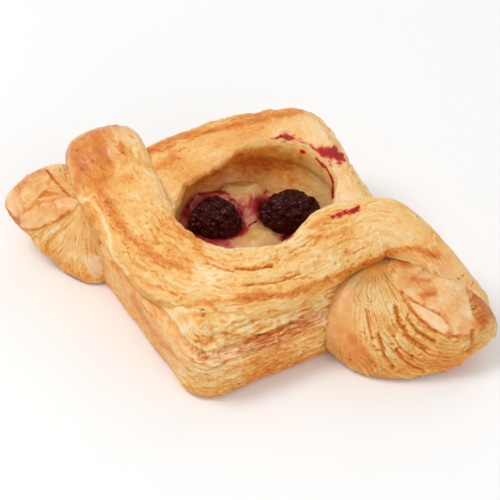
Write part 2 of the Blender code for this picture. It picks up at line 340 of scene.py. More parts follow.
def from_well(points):
    """Where points lie in plan from the well's centre, and their distance and direction."""
    away = points[..., :2] - WELL_CENTRE
    return away, length(away), np.arctan2(away[..., 1], away[..., 0])


def around(rows, angles):
    """What the rows hold for every 30 degrees, read at each angle."""
    curve = spline(np.array(rows)[:, None], 360, closed=True)[:, 0]
    steps = np.linspace(0, 2 * math.pi, 361)
    return np.interp(np.mod(angles, 2 * math.pi), steps, np.append(curve, curve[0]))


def lip_heights(grids):
    """The height of the strips' edge round the opening, for each degree."""
    top = np.full(360, LIP_LOWEST)
    for points in grids:
        _, distance, angle = from_well(points)
        near = np.abs(distance - around(OPENING_REACH, angle)) < 0.9
        degree = np.mod(np.degrees(angle), 360).astype(int)
        np.maximum.at(top, degree[near], points[..., 2][near])
    window = np.hanning(11) / np.hanning(11).sum()
    return np.convolve(np.concatenate([top[-10:], top, top[:10]]), window, "same")[10:-10]


def wall_reach(angle, height, lip):
    """How far the well goes at a height: under the strips' lip, then out of its ragged opening."""
    degree = np.mod(np.degrees(angle), 360)
    lip_at = np.interp(degree, np.arange(361), np.append(lip, lip[0]))
    opened = rise(height, lip_at - LIP_DEPTH, lip_at - 0.6)
    hidden = around(WELL_REACH, angle) * np.interp(height, *zip(*WELL_WALL))
    opening = around(OPENING_REACH, angle)
    arc = degree / 3
    ragged = 1.2 * (noise(arc / 6, 0, 31) - 0.5) + 0.8 * (noise(arc / 1.7, 0, 32) - 0.5)
    rounded = 0.9 * rise(height, lip_at - 1.4, lip_at + 0.5)
    return hidden * (1 - opened) + (opening + ragged + rounded) * opened, lip_at


def carve(points, lip):
    """Moves points that stand in the well out to its wall, or a little behind the wall's own lining."""
    away, radius, angle = from_well(points)
    wall, lip_at = wall_reach(angle, points[..., 2], lip)
    wall = wall + 1.6 * rise(points[..., 2], lip_at - 0.8, lip_at - 1.5)
    wall = np.where(points[..., 2] < WELL_WALL[0][0], 0, wall)
    grown = np.where(radius < wall, wall / np.maximum(radius, 1e-6), 1.0)
    moved = points.copy()
    moved[..., :2] = WELL_CENTRE + away * grown[..., None]
    return moved, rise(radius, wall + 0.5, wall - 0.3)


# Meshes

def grid_normals(points):
    along = np.gradient(points, axis=0)
    across = np.roll(points, -1, 1) - np.roll(points, 1, 1)
    return unit(np.cross(along, across))


def hollows(points, reach):
    """How far each point of a grid lies under the mean of those within that many rows and columns."""
    rows = np.arange(len(points))
    spread = range(-reach, reach + 1)
    mean = sum(points[np.clip(rows + k, 0, len(rows) - 1)] for k in spread) / len(spread)
    mean = sum(np.roll(mean, k, 1) for k in spread) / len(spread)
    return np.sum((mean - points) * grid_normals(mean), -1)


def tone_with_painted_shade(points, tone):
    """Painted shade: the tone more golden in hollows and sheltered undersides, paler on thin crests."""
    painted_shade = 0.07 * np.tanh(hollows(points, 3) / 0.12) + 0.08 * np.tanh(hollows(points, 10) / 0.3)
    # Painted shade also on the undersides that face down
    tone = tone + painted_shade + 0.1 * rise(grid_normals(points)[..., 2], 0.5, -0.3)
    return np.where(tone > 0.6, 0.6 + 0.5 * (tone - 0.6), tone)


def grid_piece(name, points, masks, material, grain=None, **use):
    """A closed mesh over a grid of points, closed round its columns and capped at its first and last row.

    Its grain holds the distance along the dough's layers and across them, in a UV map of millimetres.
    """
    rows, cols = points.shape[:2]
    index = np.arange(rows * cols).reshape(rows, cols)
    near, far = index[:-1], index[1:]
    quads = np.stack([near, far, np.roll(far, -1, 1), np.roll(near, -1, 1)], -1).reshape(-1, 4)
    faces = quads.tolist() + [index[0].tolist(), index[-1][::-1].tolist()]
    mesh = bpy.data.meshes.new(name)
    mesh.from_pydata(((points + SHIFT) * MM).reshape(-1, 3).tolist(), [], faces)
    for mask, values in masks.items():
        paint(mesh, mask, np.broadcast_to(np.clip(values, 0, 1), (rows, cols)))
    if grain is not None:
        wide = np.stack(grain, -1)
        wide = np.concatenate([wide, 2 * wide[:, -1:] - wide[:, -2:-1]], 1)
        corners = np.stack([wide[:-1, :-1], wide[1:, :-1], wide[1:, 1:], wide[:-1, 1:]], 2).reshape(-1)
        corners = np.concatenate([corners, np.zeros(4 * cols)])
        mesh.uv_layers.new(name="grain").data.foreach_set("uv", corners.astype(np.float32))
    mesh.shade_smooth()
    return dress(mesh, material, **use)


def put(name, data):
    """A new object in the scene."""
    item = bpy.data.objects.new(name, data)
    bpy.context.scene.collection.objects.link(item)
    return item


def paint(mesh, mask, values):
    """Gives each vertex a number that the materials read by the mask's name."""
    values = np.asarray(values, np.float32).reshape(-1)
    mesh.attributes.new(mask, "FLOAT", "POINT").data.foreach_set("value", values)


def dress(mesh, material, nodes=("pastry",), slot="dough"):
    """A piece of the part, made of the mesh."""
    mesh.materials.append(material)
    piece = put(mesh.name, mesh)
    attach(piece, "root")
    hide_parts(*nodes)
    return piece


# Materials

def colour(red, green, blue):
    """A colour as a screen shows it, from 0 to 255, as the light that a shader takes."""
    channels = [value / 255 for value in (red, green, blue)]
    return [c / 12.92 if c <= 0.04045 else ((c + 0.055) / 1.055) ** 2.4 for c in channels] + [1.0]


class Nodes:
    """Builds a material's nodes. Sockets are named or numbered, each with a value or with what feeds it."""

    def __init__(self, name):
        self.material = bpy.data.materials.new(name)
        self.material.use_nodes = True
        self.tree = self.material.node_tree
        self.place = self.add("TexCoord").outputs["Object"]

    def add(self, kind, sockets=None, **settings):
        node = self.tree.nodes.new("ShaderNode" + kind)
        for key, value in settings.items():
            setattr(node, key, value)
        self.fill(node, sockets or {})
        return node

    def fill(self, node, sockets):
        for key, source in sockets.items():
            if isinstance(source, (int, float, list, tuple)):
                node.inputs[key].default_value = source
            else:
                self.tree.links.new(source, node.inputs[key])

    def shade(self, sockets):
        """Gives the shader its sockets, and returns the finished material."""
        self.fill(self.tree.nodes["Principled BSDF"], sockets)
        return self.material

    def math(self, operation, *values):
        return self.add("Math", dict(enumerate(values)), operation=operation).outputs[0]

    def scaled(self, value, factor, added):
        return self.math("MULTIPLY_ADD", value, factor, added)

    def mask(self, name):
        return self.add("Attribute", attribute_name=name).outputs["Fac"]

    def noise(self, size, detail=3.0, rough=0.55):
        """Noise whose features have that size in millimetres, from 0 to 1."""
        sockets = {"Vector": self.place, "Scale": 1 / (size * MM), "Detail": detail, "Roughness": rough}
        return self.add("TexNoise", sockets).outputs["Fac"]

    def fibres(self, length, width):
        """Noise drawn out along the grain, whose features have that length and width in millimetres."""
        warp = self.add("TexNoise", {"Vector": self.place, "Scale": 1 / (1.8 * MM)})
        grain = self.add("UVMap", uv_map="grain").outputs["UV"]
        sockets = {0: warp.outputs["Color"], 1: (3.0, 1.6, 0), 2: grain}
        moved = self.add("VectorMath", sockets, operation="MULTIPLY_ADD").outputs[0]
        sockets = {0: moved, 1: (length, width, 1)}
        drawn_out = self.add("VectorMath", sockets, operation="DIVIDE").outputs[0]
        sockets = {"Vector": drawn_out, "Scale": 1.0, "Detail": 2.0}
        return self.add("TexNoise", sockets, noise_dimensions="2D").outputs["Fac"]

    def ramp(self, value, stops):
        """Colours by a value. Each stop is a value, then a colour as a screen shows it."""
        node = self.add("ValToRGB", {"Fac": value})
        elements = node.color_ramp.elements
        while len(elements) < len(stops):
            elements.new(0.5)
        for element, (position, *shade) in zip(elements, stops):
            element.position = position
            element.color = colour(*shade)
        return node.outputs["Color"]

    def mix(self, factor, first, second):
        sockets = {"Factor": factor, 6: first, 7: second}
        return self.add("Mix", sockets, data_type="RGBA").outputs[2]

    def bump(self, height, strength, distance):
        sockets = {"Height": height, "Strength": strength, "Distance": distance * MM}
        return self.add("Bump", sockets).outputs["Normal"]


def dough_material():
    """Baked puff pastry, from cream layers to brown edges by its tone, with glaze and juice over it."""
    n = Nodes("baked_dough")
    glaze, stain = n.mask("glaze"), n.mask("stain")
    mottle = n.math("SUBTRACT", n.noise(2.6, 4.0, 0.6), 0.5)
    grain = n.math("SUBTRACT", n.noise(0.55, 3.0, 0.6), 0.5)
    middle = n.math("ABSOLUTE", n.scaled(n.fibres(2.6, 0.8), 7.0, -3.5))
    thread = n.math("MAXIMUM", n.math("SUBTRACT", 1.0, middle), 0.0)
    thread = n.math("MULTIPLY", thread, n.scaled(glaze, -0.85, 1.0))
    tone = n.scaled(grain, 0.16, n.scaled(mottle, 0.24, n.mask("tone")))
    tone = n.scaled(thread, -0.14, tone)
    dough = n.ramp(tone, (
        (0.0, 249, 221, 172), (0.2, 245, 200, 129), (0.4, 239, 176, 90),
        (0.6, 227, 139, 46), (0.8, 200, 96, 24), (1.0, 140, 54, 14),
    ))
    skin = n.ramp(tone, (
        (0.0, 248, 212, 168), (0.3, 236, 180, 116), (0.55, 224, 138, 56),
        (0.8, 188, 82, 24), (1.0, 120, 44, 16),
    ))
    juice = n.ramp(n.scaled(grain, 0.5, stain), (
        (0.0, 236, 170, 116), (0.35, 216, 84, 44), (0.7, 196, 22, 8),
        (1.0, 160, 6, 3),
    ))
    return n.shade({
        "Base Color": n.mix(n.math("MULTIPLY", stain, 1.5), n.mix(glaze, dough, skin), juice),
        "Roughness": n.scaled(mottle, 0.2, n.scaled(glaze, -0.28, 0.58)),
        "Coat Weight": n.scaled(stain, -0.2, n.scaled(glaze, 0.35, 0.16)),
        "Coat Roughness": 0.22,
        "Specular IOR Level": 0.35,
        "Subsurface Weight": 0.35,
        "Subsurface Radius": (1.0, 0.6, 0.3),
        "Subsurface Scale": 1.6 * MM,
        "Normal": n.bump(n.scaled(grain, 0.7, n.math("MULTIPLY", thread, 0.6)), 0.6, 0.25),
    })


def custard_material():
    """Cream custard with vanilla specks, and berry juice over it."""
    n = Nodes("vanilla_custard")
    stain = n.mask("stain")
    soft = n.math("SUBTRACT", n.noise(3.0), 0.5)
    cream = n.ramp(n.scaled(soft, 0.6, n.mask("tone")), (
        (0.0, 236, 204, 138), (0.5, 216, 166, 90), (1.0, 190, 118, 46),
    ))
    juice = n.ramp(n.scaled(soft, 0.5, stain), (
        (0.0, 212, 150, 110), (0.3, 196, 108, 92), (0.6, 176, 38, 40),
        (1.0, 72, 8, 12),
    ))
    shade = n.mix(n.math("MULTIPLY", stain, 2.2), cream, juice)
    seeds = n.add("TexVoronoi", {"Vector": n.place, "Scale": 1 / (2.3 * MM)})
    speck = n.math("LESS_THAN", seeds.outputs["Distance"], 0.055)
    return n.shade({
        "Base Color": n.mix(n.math("MULTIPLY", speck, 0.8), shade, colour(60, 36, 24)),
        "Roughness": n.scaled(soft, 0.2, 0.38),
        "Subsurface Weight": 0.3,
        "Subsurface Radius": (1.0, 0.7, 0.35),
        "Subsurface Scale": 1.5 * MM,
        "Normal": n.bump(n.noise(0.8), 0.2, 0.15),
    })


def berry_material():
    """A dark juicy skin, with painted shade making it nearly black between the drupelets."""
    n = Nodes("dark_berry")
    soft = n.noise(1.2)
    shade = n.ramp(n.scaled(n.mask("crease"), 0.5, n.math("MULTIPLY", soft, 0.5)), (
        (0.0, 52, 8, 10), (0.45, 30, 4, 5), (1.0, 12, 2, 3),
    ))
    return n.shade({
        "Base Color": shade,
        "Roughness": n.scaled(soft, 0.3, 0.1),
        "Specular Tint": (1.0, 0.28, 0.25, 1.0),
        "Specular IOR Level": 0.4,
        "Subsurface Weight": 0.1,
        "Subsurface Radius": (1.0, 0.15, 0.15),
        "Subsurface Scale": 1.0 * MM,
        "Normal": n.bump(n.noise(0.35, 2.0), 0.35, 0.12),
    })


# Strips

# Marks as the photograph shows them: half width in pixels, strength and the pixels of a path
FRONT_BROWN = (
    (4.0, 0.42, (116, 219), (132, 240), (148, 253), (169, 264), (189, 270)),
    (3.0, 0.34, (97, 188), (110, 205), (122, 227), (136, 240)),
    (3.0, 0.3, (75, 158), (87, 174), (97, 188)),
    (5.0, 0.36, (195, 238), (202, 253)),
    (3.5, 0.28, (183, 232), (192, 236)),
    (4.0, 0.5, (120, 145), (122, 152)),
    (6.0, 0.25, (127, 155), (138, 164), (130, 182)),
    (2.5, 0.3, (183, 307), (212, 302), (240, 299)),
    (5.0, 0.6, (240, 299), (254, 297), (270, 296)),
    (4.0, 0.6, (270, 296), (291, 294), (307, 288), (323, 280), (349, 272), (365, 263), (379, 256),
     (392, 251)),
    (5.0, 0.65, (304, 289), (330, 280)),
    (3.2, 0.6, (392, 251), (408, 248), (422, 250), (436, 257)),
    (5.0, 0.25, (317, 227), (329, 219)),
    (6.0, 0.25, (389, 201), (405, 206)),
    (7.0, 0.12, (410, 215), (440, 240)),
)
FRONT_PALE = (
    (2.5, 0.3, (71, 195), (92, 201), (100, 213), (107, 230), (110, 247), (113, 259), (128, 273)),
    (6.0, 0.18, (190, 243), (225, 247), (270, 250), (300, 240)),
)
FRONT_JUICE = ((3.2, 1.0, (332, 217), (342, 214), (350, 211), (357, 209)),)
FRONT_SLITS = (
    (1.4, 1.6, (236, 268), (252, 269), (272, 265)),
    (1.1, 0.8, (207, 262), (220, 268), (234, 271)),
    (1.1, 0.8, (243, 285), (275, 283), (300, 274)),
    (1.0, 0.7, (290, 252), (305, 244)),
)
BACK_BROWN = (
    (3.5, 0.42, (150, 150), (163, 143), (186, 136), (205, 132)),
    (3.0, 0.42, (205, 132), (221, 128), (246, 123), (271, 116), (294, 111)),
    (5.0, 0.5, (278, 117), (300, 111)),
    (5.0, 0.3, (158, 168), (175, 156)),
)
BACK_JUICE = (
    (5.0, 1.2, (274, 142), (281, 138), (289, 138), (293, 142)),
    (6.0, 0.7, (300, 143), (314, 149), (324, 157), (329, 164)),
    (7.0, 1.1, (322, 151), (333, 153), (339, 158)),
    (1.5, 0.9, (315, 157), (329, 171), (334, 182), (334, 199)),
)
WALL_JUICE = (
    (1.7, 1.0, (316, 158), (328, 170), (333, 182), (333, 198)),
    (2.2, 1.2, (301, 151), (304, 153)),
)


def strip_grid(stations, count, sides):
    """Points over a border strip, closer on its top, with the distance along it and round it of each."""
    rows = spline(stations, count)
    centre = rows[:, :3]
    roll = np.radians(rows[:, 6])[:, None]
    along = unit(np.gradient(centre, axis=0))
    across = unit(np.cross(along, (0, 0, 1)))
    up = np.cross(across, along)
    tilted_across = across * np.cos(roll) - up * np.sin(roll)
    tilted_up = up * np.cos(roll) + across * np.sin(roll)
    angle = turn(sides) + TOP_CLOSENESS * np.sin(turn(sides)) - math.pi / 2
    round_x = np.sign(np.cos(angle)) * np.abs(np.cos(angle)) ** (2 / STRIP_SQUARENESS)
    round_y = np.sign(np.sin(angle)) * np.abs(np.sin(angle)) ** (2 / STRIP_SQUARENESS)
    s = travelled(centre)
    to_end = np.minimum(np.minimum(s, s[-1] - s), STRIP_END)
    swell = STRIP_END_SHARE + (1 - STRIP_END_SHARE) * np.sqrt(1 - (1 - to_end / STRIP_END) ** 2)
    x = rows[:, 3:4] * round_x * swell[:, None]
    y = np.where(round_y > 0, rows[:, 4:5], rows[:, 5:6]) * round_y * swell[:, None]
    points = centre[:, None] + x[..., None] * tilted_across[:, None] + y[..., None] * tilted_up[:, None]
    s, t = np.broadcast_arrays(s[:, None], travelled(points[count // 2]))
    return points, s, t, round_x + 0 * s, round_y + 0 * s


def front_strip():
    """The front strip's relief and its colours."""
    points, s, t, _, top = strip_grid(FRONT_STRIP, count=620, sides=150)
    normals, seen, facing = in_view(points)
    middle = rise(points[..., 0], -34, -14) * rise(points[..., 0], 42, 26)
    layered, parted = layers(s, t, 100)
    amount = 0.2 + 0.8 * middle
    lumps = uneven(points, 9.0, 3, 120)
    holes = pores(points, 0.95, 130, 0.5)
    slits = strokes(seen, FRONT_SLITS) * facing
    brown = strokes(seen, FRONT_BROWN) * facing
    pale = strokes(seen, FRONT_PALE) * facing
    wander = 2 * (noise(s / 9, t / 9, 125) - 0.5)
    creases = (1 - 0.8 * middle) * ridge(noise(s / 15, t / 3.6 + wander, 127), 0.1)
    lift = 1.1 * lumps + amount * 0.62 * layered - amount * 0.36 * parted - 0.3 * holes - 0.8 * slits
    lift += 0.5 * pale + 0.4 * np.minimum(brown, 0.3) + 0.25 * creases
    points = points + normals * lift[..., None]
    mottle = 0.5 * uneven(points, 13.0, 3, 140) + 0.2 * uneven(points, 4.5, 2, 142)
    # Painted light and shade: paler on the raised layers and creases, deeper in parted layers, pores and
    # slits
    tone = 0.4 + mottle - 0.16 * amount * layered - 0.12 * creases
    tone += 0.1 * parted + 0.1 * holes + 0.2 * np.minimum(slits, 1) + 0.9 * brown - pale
    tone -= 0.08 * rise(points[..., 0], 10, 30)
    hump = rise(points[..., 0], -34, -42)
    tone += hump * (0.6 * cloud(points, 6.0, 3, 145) - 0.17)
    glaze = 0.7 * hump + 0.7 * rise(points[..., 0], 44, 52)
    glaze *= rise(top, 0.2, 0.6) * rise(cloud(points, 10.0, 2, 150), 0.35, 0.5)
    return points, {"tone": tone, "glaze": glaze, "stain": blots(points, FRONT_JUICE) * facing}, (s, t)


def back_strip():
    """The back strip's relief and its colours."""
    points, s, t, side, top = strip_grid(BACK_STRIP, count=400, sides=144)
    normals, seen, facing = in_view(points)
    outer = rise(side, -0.35, -0.75)
    layered, parted = layers(s, t, 200)
    lumps = uneven(points, 9.0, 3, 220)
    holes = pores(points, 0.9, 230, 0.35)
    amount = 0.2 + 0.8 * outer
    brown = strokes(seen, BACK_BROWN) * facing
    lift = 1.1 * lumps + amount * layered - amount * 0.4 * parted - 0.3 * holes
    points = points + normals * lift[..., None]
    # Painted light and shade: paler on the raised layers, deeper in parted layers and pores
    tone = 0.36 + 0.7 * uneven(points, 12.0, 3, 240) - 0.2 * amount * layered
    tone += 0.08 * amount * parted + 0.08 * holes + 0.9 * brown + 0.1 * outer
    tone -= 0.07 * rise(points[..., 0], 2, 12)
    glaze = 0.25 * rise(top, 0.3, 0.8)
    return points, {"tone": tone, "glaze": glaze, "stain": blots(points, BACK_JUICE) * facing}, (s, t)


def strip_piece(name, made, lip, material):
    """A strip with the well cut out of it."""
    points, masks, grain = made
    masks["tone"] = tone_with_painted_shade(points, masks["tone"])
    points, carved = carve(points, lip)
    cut = rise(carved, 0.4, 0.9)
    # Where the well is cut through a strip, its wall takes the painted shade of the wall's marks
    wall = 0.3 + 1.3 * strokes(on_photo(points), WALL_PAINTED_SHADE)
    masks["tone"] = masks["tone"] * (1 - 0.6 * cut) + 0.6 * cut * wall
    masks["glaze"] = masks["glaze"] * (1 - cut)
    masks["stain"] = masks["stain"] * (1 - cut)
    return grid_piece(name, points, masks, material, grain)


# The well's lining

LINING_ROWS = 56
LINING_SIDES = 300
# Painted shade on the well's wall: under the back strip's lip and on the wall's left side
WALL_PAINTED_SHADE = (
    (15.0, 0.42, (242, 166), (262, 163), (284, 166)),
    (7.0, 0.25, (236, 153), (275, 151)),
    (9.0, 0.3, (185, 196), (222, 172)),
    (5.0, 0.42, (186, 188), (203, 179), (221, 169), (235, 158), (246, 151)),
)


def well_lining(lip, material):
    """The smooth inside of the well, a thin shell from its floor to under the strips' lip."""
    angle = turn(LINING_SIDES)
    lip_at = wall_reach(angle, 0 * angle, lip)[1]
    floor = WELL_WALL[0][0]
    heights = [floor + 0.2 + (lip_at - 0.9 - floor) * share for share in np.linspace(0, 1, LINING_ROWS)]
    rows = [(wall_reach(angle, height, lip)[0], height) for height in heights]
    edge, top = rows[-1]
    rows += [(edge + 0.5, top + 0.05), (edge + 1.2, top - 0.5)]
    rows += [(reach + 1.2, height - 0.4) for reach, height in rows[LINING_ROWS - 6:0:-10]]
    points = np.array([ring(WELL_CENTRE, angle, *row) for row in rows])
    row = np.arange(len(rows))[:, None]
    s, t = np.broadcast_arrays(angle * 20, row * 0.3)
    folds = uneven(points, 8.0, 3, 900)
    under_lip = rise(lip_at - points[..., 2], 0.9, 3)
    lift = 0.15 + under_lip * (0.15 + 0.9 * folds + 0.2 * uneven(points, 1.6, 2, 905))
    points = points + grid_normals(points) * ((row < LINING_ROWS - 2) * lift)[..., None]
    # The wall's marks are painted shade under the lip and on its left side
    tone = 0.35 + 0.35 * uneven(points, 7.0, 3, 910) + strokes(on_photo(points), WALL_PAINTED_SHADE)
    masks = {"tone": tone, "glaze": 0.1, "stain": blots(points, WALL_JUICE)}
    return grid_piece("well_lining", points, masks, material, (s, t))


# Knots

# Thin glazed sheets: tone, shine and height above the layers, then an outline in pixels
LEFT_SHEETS = (
    (0.38, 0.5, 0.2, (4, 204), (10, 195), (20, 186), (33, 175), (47, 169), (56, 177), (71, 196), (82, 203),
     (66, 213), (46, 225), (33, 230), (20, 228), (12, 213)),
    (0.24, 0.9, 0.1, (5, 204), (10, 196), (18, 189), (23, 200), (24, 212), (20, 220), (12, 212)),
    (0.32, 0.6, 0.3, (18, 189), (25, 179), (33, 174), (44, 170), (50, 176), (45, 188), (38, 200), (26, 209),
     (22, 202)),
    (0.26, 0.8, 0.35, (20, 228), (24, 214), (36, 207), (52, 203), (70, 199), (83, 203), (70, 211),
     (58, 219), (46, 225), (33, 230)),
    (0.6, 0.2, -0.6, (39, 199), (45, 189), (60, 194)),
    (0.14, 0.6, 0.1, (85, 264), (91, 254), (101, 257), (105, 268), (98, 278), (87, 275)),
)
LEFT_BROWN = (
    (6.0, 0.42, (16, 187), (24, 177), (32, 171), (42, 167)),
    (3.0, 0.5, (3, 201), (6, 208), (12, 216), (19, 224)),
    (1.8, 0.45, (20, 227), (34, 230), (50, 225), (60, 218), (70, 211)),
    (1.3, 0.12, (19, 190), (23, 202), (24, 212)),
    (1.5, 0.18, (47, 171), (54, 179), (63, 188), (70, 196)),
    (2.5, 0.2, (61, 178), (63, 183)),
    (5.0, 0.14, (88, 250), (104, 252)),
)
LEFT_PALE = ((6.0, 0.2, (78, 203), (95, 203)), (6.0, 0.2, (88, 262), (98, 270)))
RIGHT_SHEETS = (
    (0.36, 0.8, 0.25, (391, 272), (407, 272), (425, 264), (440, 256), (452, 260), (464, 270), (476, 286),
     (470, 298), (473, 316), (481, 325), (476, 333), (463, 336), (447, 336), (431, 328), (416, 313),
     (405, 300)),
    (0.32, 0.6, 0.15, (438, 286), (452, 280), (464, 286), (469, 298), (471, 315), (480, 325), (475, 333),
     (460, 336), (453, 332), (450, 320), (440, 305)),
    (0.27, 0.9, 0.1, (440, 256), (452, 260), (464, 270), (475, 286), (462, 286), (450, 276)),
    (0.24, 0.9, 0.35, (405, 301), (416, 303), (430, 309), (441, 317), (447, 326), (445, 335), (431, 328),
     (416, 314)),
    (0.4, 0.7, 0.5, (388, 254), (407, 249), (424, 251), (440, 258), (430, 266), (415, 274), (400, 272),
     (388, 270)),
)
# The flap's lower edge from the pinch to the tip, which the layers follow, and their width beside it
RIGHT_GUIDE = (
    (372, 263, 1.5), (384, 272, 4.0), (391, 285, 7.0), (400, 298, 9.5), (411, 313, 12.0), (424, 325, 13.5),
    (438, 334, 13.5), (453, 340, 12.0), (469, 338, 9.0), (483, 329, 6.0), (492, 316, 4.0),
)
RIGHT_SMOOTH = (
    (22.0, 1.1, (330, 285), (334, 305), (342, 330)),
    (12.0, 0.9, (342, 330), (358, 352)),
    (7.0, 0.8, (478, 292), (487, 304), (485, 318)),
)
# Browned edges and tip; the three rows near the pinch along the front strip's edge are painted shade under
# that strip
RIGHT_BROWN_AND_SHADE = (
    (1.8, 0.6, (401, 292), (411, 309), (421, 320), (434, 330), (447, 336), (466, 335)),
    (4.5, 0.42, (401, 257), (403, 266)),
    (3.0, 0.3, (420, 295), (435, 294)),
    (2.2, 0.22, (412, 279), (430, 281)),
    (9.0, 0.5, (474, 292), (483, 300), (488, 314), (482, 322)),
    (1.5, 0.3, (466, 288), (469, 292)),
    (1.2, 0.25, (439, 313), (451, 326), (453, 335)),
    (2.8, 0.5, (446, 332), (451, 334)),
    (6.0, 0.22, (352, 338), (358, 348)),
    (4.5, 0.3, (362, 350), (374, 364)),
    (7.0, 0.18, (325, 283), (332, 300)),
    (8.0, 0.26, (330, 290), (345, 279), (366, 270), (392, 268)),
    (9.0, 0.16, (366, 276), (380, 280), (394, 290)),
    (6.0, 0.12, (347, 300), (353, 318)),
)
RIGHT_PALE = ((6.0, 0.1, (370, 292), (378, 310)), (5.0, 0.14, (385, 300), (394, 320)))
RIGHT_SLITS = (
    (1.2, 0.6, (402, 292), (415, 302), (428, 309), (440, 315)),
    (1.6, 0.7, (472, 331), (472, 343), (469, 352)),
    (2.6, 1.2, (396, 308), (400, 324), (411, 340), (425, 350)),
    (2.0, 1.0, (378, 335), (384, 356), (393, 368)),
    (1.8, 0.9, (408, 318), (418, 332), (434, 342)),
    (1.6, 0.7, (396, 352), (410, 366), (424, 372)),
    (1.3, 0.6, (366, 310), (372, 340)),
)


def knot_grid(pinch, reach, lift, notches, sides, levels, under):
    """Points over a knot, from its pinched top to its underside, and how far each lies from the pinch."""
    radius, rim = spline(np.stack([reach, lift], 1), sides, closed=True).T
    angle = turn(sides)
    for direction, width, share in notches:
        radius = radius * (1 - share * np.exp(-(((np.degrees(angle) - direction) / width) ** 2)))
    shares = np.sin((np.arange(levels) + 0.3) / levels * math.pi / 2)
    falls = (1 - shares**KNOT_FULLNESS) ** (1 / KNOT_FULLNESS)
    rows = [(share, rim + (pinch[2] - rim) * fall) for share, fall in zip(shares, falls)]
    for share, drop in spline(KNOT_UNDERSIDE, under):
        rows.append((share, np.maximum(rim - drop, KNOT_FOOT + 1 - share)))
    points = np.array([ring(pinch, angle, radius * share, height) for share, height in rows])
    return points, np.array([share for share, _ in rows])[:, None] * radius


def along_guide(points, seen, facing, guide):
    """Distance along a guide laid on the piece through pixels, and away from it as a share of its width.

    Each row of the guide is a pixel and the width in millimetres of the layers that run beside it there.
    """
    hidden = np.where(facing > 0.5, 0, 1e6)
    spots = [points.reshape(-1, 3)[(length(seen - row[:2]) + hidden).argmin()] for row in guide]
    distance, share = to_path(points, spots)
    stations = np.linspace(0, 1, len(spots))
    width = np.interp(share, stations, [row[2] for row in guide])
    return np.interp(share, stations, travelled(spots)), distance / width


def knot_piece(name, grid, material, *, seed, fan, layer, ground, porous, relief, sheets, brown, pale,
               slits, smooth=(), pole=None, guide=None):
    """A knot whose layers run from a pole in pixels like a fan, or beside a guide."""
    points, distance = grid
    normals, seen, facing = in_view(points)
    if guide:
        along, across = along_guide(points, seen, facing, guide)
    else:
        away = seen - pole
        along, across = VIEW_PIXEL * length(away), np.arctan2(away[..., 0], away[..., 1])
    across = across * fan
    layered, parted = layers(along, across, seed, layer, 0.55)
    lumps = uneven(points, 8.0, 3, seed + 20)
    # The deeper tone low on the knot is painted shade
    tone = ground + 0.6 * uneven(points, 9.0, 3, seed + 40) + 0.22 * rise(points[..., 2], 13, 2)
    glaze, raised, bare = 0 * tone, 0 * tone, 1 + 0 * tone
    wobble = 6 * uneven(points, 3.0, 2, seed + 60)
    mottle = 0.5 * uneven(points, 3.5, 3, seed + 55) + 0.3 * uneven(points, 9.0, 2, seed + 56)
    gleam = 0.7 + 0.6 * cloud(points, 1.6, 2, seed + 70)
    for sheet_tone, shine, height, *outline in sheets:
        on_sheet = rise(inside(seen + wobble[..., None], outline), -1.2, 1.2) * facing
        tone += on_sheet * (sheet_tone + mottle - tone)
        glaze += on_sheet * (shine * gleam - glaze)
        raised += on_sheet * height
        bare = bare * (1 - 0.75 * on_sheet)
    rumpled = 1.1 * uneven(points, 5.0, 3, seed + 57) + 0.15 * ridge(cloud(points, 4.5, 2, seed + 50), 0.15)
    smoothed = np.clip(strokes(seen, smooth), 0, 1) * facing
    glaze = np.maximum(glaze, 0.75 * smoothed)
    rough = (1 - smoothed) * bare
    spread = rise(distance, 0.5, 6) * rough
    holes = pores(points, 1.0, seed + 30, porous) * rise(distance, 7, 13) * rough
    slits = strokes(seen, slits) * facing
    lift = 1.1 * lumps + relief * spread * (layered - 0.45 * parted) - 0.45 * holes - slits
    points = points + normals * (lift + raised + (1 - bare) * rumpled * 0.7)[..., None]
    # Painted light and shade: paler on the raised layers, deeper in parted layers, pores and slits
    tone = tone - 0.2 * spread * layered + 0.1 * parted * spread + 0.1 * holes + 0.28 * np.minimum(slits, 1)
    # On the right knot the brown marks also hold painted shade under the front strip
    tone += 0.9 * strokes(seen, brown) * facing - strokes(seen, pale) * facing
    masks = {"tone": tone_with_painted_shade(points, tone), "glaze": glaze, "stain": 0}
    return grid_piece(name, points, masks, material, (along, across))


# Each knot's fan of layers with their width, its ground tone, its pores, its relief and its marks
LEFT_LOOKS = dict(
    seed=300, fan=13, layer=2.2, ground=0.29, porous=1.1, relief=0.4, pole=(84, 203), sheets=LEFT_SHEETS,
    brown=LEFT_BROWN, pale=LEFT_PALE, slits=((1.5, 0.6, (47, 171), (54, 179), (70, 196)),),
)
RIGHT_LOOKS = dict(
    seed=400, fan=20, layer=1.9, ground=0.35, porous=0.7, relief=0.85, guide=RIGHT_GUIDE,
    sheets=RIGHT_SHEETS, brown=RIGHT_BROWN_AND_SHADE, pale=RIGHT_PALE, slits=RIGHT_SLITS, smooth=RIGHT_SMOOTH,
)


# Base

# Rows up its side, and the one that measures the way round it
BASE_ROWS = 110
BASE_GIRTH_ROW = 60
# Browned spots and lines; the wide row low on the right side and the last row, along the front strip's
# lower edge, are painted shade
BASE_BROWN_AND_SHADE = (
    (3.0, 0.2, (196, 341), (212, 340)),
    (3.0, 0.25, (244, 340), (269, 336)),
    (4.0, 0.2, (302, 323), (312, 322)),
    (3.0, 0.35, (203, 357), (205, 358)),
    (2.5, 0.3, (238, 350), (240, 348)),
    (2.5, 0.25, (132, 296), (143, 318), (153, 332), (172, 352), (189, 369)),
    (8.0, 0.18, (250, 376), (335, 352)),
    (5.0, 0.2, (114, 264), (150, 299), (188, 316), (240, 308), (290, 300), (325, 288)),
)


